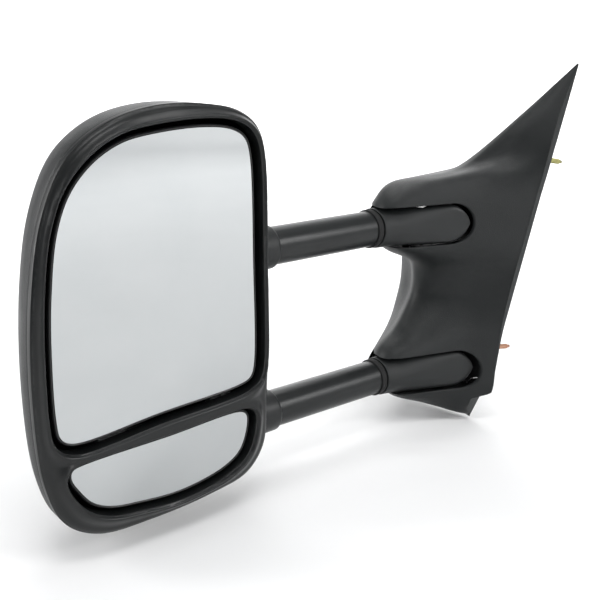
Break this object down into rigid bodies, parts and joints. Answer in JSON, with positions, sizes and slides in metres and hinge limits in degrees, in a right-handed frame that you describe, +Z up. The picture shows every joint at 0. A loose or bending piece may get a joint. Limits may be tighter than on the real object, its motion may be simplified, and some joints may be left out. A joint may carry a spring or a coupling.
{
  "type": "towing mirror",
  "caption": "Telescoping towing mirror for a truck door, with main and wide-angle glass, two sliding arms and a folding sail-shaped base.",
  "frame": {"origin": "on the face that bolts to the door, half way between the two arms, on the plane through both arm axes", "axes": "+X inboard into the door along the arms, +Y towards the front of the vehicle, +Z up"},
  "size_m": [0.6176, 0.1988, 0.4027],
  "materials": {
    "black_plastic": "fine texture",
    "coated_tube": "satin black powder coat",
    "mirror_glass": "polished",
    "casting": "as cast",
    "steel": "plain",
    "yellow_zinc": "yellow zinc plate",
    "copper_plate": "copper-coloured plate",
    "nylon": "natural",
    "rubber": "matt foam"
  },
  "bodies": {
    "base": {"base_cover": "black_plastic", "mount_bracket": "casting", "door_gasket": "rubber", "upper_stud": "yellow_zinc", "lower_stud": "copper_plate", "front_stud": "yellow_zinc", "upper_pivot_pin": "steel", "lower_pivot_pin": "steel", "fold_spring": "steel", "detent_ring": "steel", "cover_screw_1": "steel", "cover_screw_2": "steel", "cover_screw_3": "steel"},
    "arms": {"upper_knuckle": "black_plastic", "lower_knuckle": "black_plastic", "upper_tube": "coated_tube", "lower_tube": "coated_tube", "upper_arm_ring": "rubber", "lower_arm_ring": "rubber", "upper_end_stop": "black_plastic", "lower_end_stop": "black_plastic"},
    "head": {"head_rear_shell": "black_plastic", "head_bezel": "black_plastic", "head_carrier": "casting", "upper_collar": "black_plastic", "lower_collar": "black_plastic", "upper_inner_bushing": "nylon", "upper_outer_bushing": "nylon", "lower_inner_bushing": "nylon", "lower_outer_bushing": "nylon", "upper_tension_pad": "steel", "lower_tension_pad": "steel", "carrier_screw_1": "steel", "carrier_screw_2": "steel", "carrier_screw_3": "steel", "carrier_screw_4": "steel"},
    "main_swivel": {"main_pivot_ball": "nylon"},
    "main_mirror": {"main_glass_holder": "black_plastic", "main_glass": "mirror_glass"},
    "spotter_swivel": {"spotter_pivot_ball": "nylon"},
    "spotter_mirror": {"spotter_glass_holder": "black_plastic", "spotter_glass": "mirror_glass"}
  },
  "joints": [
    {"name": "fold", "type": "hinge", "parent": "base", "child": "arms", "pos_m": [-0.095, -0.02, 0], "axis": [0, 0, 1], "range_deg": [0, 66]},
    {"name": "telescope", "type": "slide", "parent": "arms", "child": "head", "axis": [1, 0, 0], "range_m": [0, 0.11]},
    {"name": "main_glass_tilt", "type": "hinge", "parent": "head", "child": "main_swivel", "pos_m": [-0.437, -0.039, 0.092], "axis": [1, 0, 0], "range_deg": [-4.5, 4.5]},
    {"name": "main_glass_turn", "type": "hinge", "parent": "main_swivel", "child": "main_mirror", "pos_m": [-0.437, -0.039, 0.092], "axis": [0, 0, 1], "range_deg": [-4.5, 4.5]},
    {"name": "spotter_glass_tilt", "type": "hinge", "parent": "head", "child": "spotter_swivel", "pos_m": [-0.435, -0.039, -0.079], "axis": [1, 0, 0], "range_deg": [-5, 5]},
    {"name": "spotter_glass_turn", "type": "hinge", "parent": "spotter_swivel", "child": "spotter_mirror", "pos_m": [-0.435, -0.039, -0.079], "axis": [0, 0, 1], "range_deg": [-5, 5]}
  ]
}
